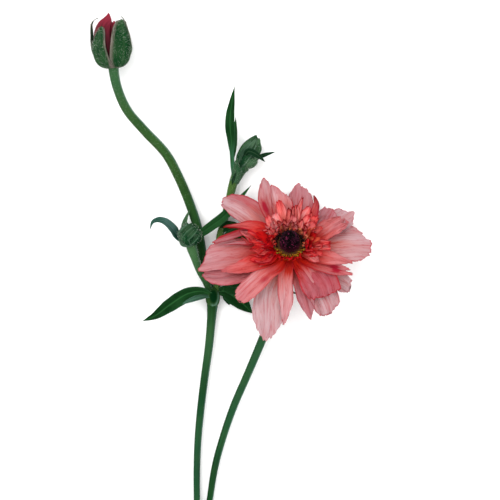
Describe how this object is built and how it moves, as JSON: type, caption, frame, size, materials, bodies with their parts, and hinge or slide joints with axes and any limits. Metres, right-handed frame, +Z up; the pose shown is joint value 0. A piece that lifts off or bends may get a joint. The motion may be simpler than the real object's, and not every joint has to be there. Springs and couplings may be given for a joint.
{
  "type": "ranunculus flower",
  "caption": "Cut branching ranunculus stem lying flat, with an open pink bloom round a dark centre, a half-open bud, small green buds and narrow leaves.",
  "frame": {"origin": "on the surface that the flower lies on, under the middle of the whole flower's box", "axes": "+Z is straight up from the surface, +Y runs from the stem's cut end to the top bud, and +X is to the right seen from above"},
  "size_m": [0.123, 0.259, 0.0397],
  "materials": {
    "stem_green": "matt, finely ribbed along the stem",
    "leaf_green": "satin dark green with a paler midrib",
    "sepal_green": "matt grey-green with fine pale hairs",
    "petal_pale": "matt pale pink with fine veins",
    "petal_coral": "matt coral, redder towards the root",
    "petal_red": "matt deep red with darker curled tips",
    "stamen_yellow": "matt yellow-green",
    "carpel_dark": "granular purple-black with a slight gloss",
    "bud_crimson": "satin crimson"
  },
  "bodies": {
    "root": {"flowering_stem": "stem_green", "bloom_sepals": "sepal_green", "bloom_outer_petals": "petal_pale", "bloom_middle_petals": "petal_coral", "bloom_inner_petaloids": "petal_red", "bloom_stamens": "stamen_yellow", "bloom_carpel_head": "carpel_dark", "top_bud_sepals": "sepal_green", "top_bud_petals": "bud_crimson", "left_small_bud": "sepal_green", "right_small_bud": "sepal_green", "leaf_lower_left": "leaf_green", "leaf_lower_right": "leaf_green", "leaf_behind_bloom": "leaf_green", "leaf_long": "leaf_green", "leaf_curled": "leaf_green", "leaf_short": "leaf_green", "leaf_tall": "leaf_green"}
  },
  "joints": []
}
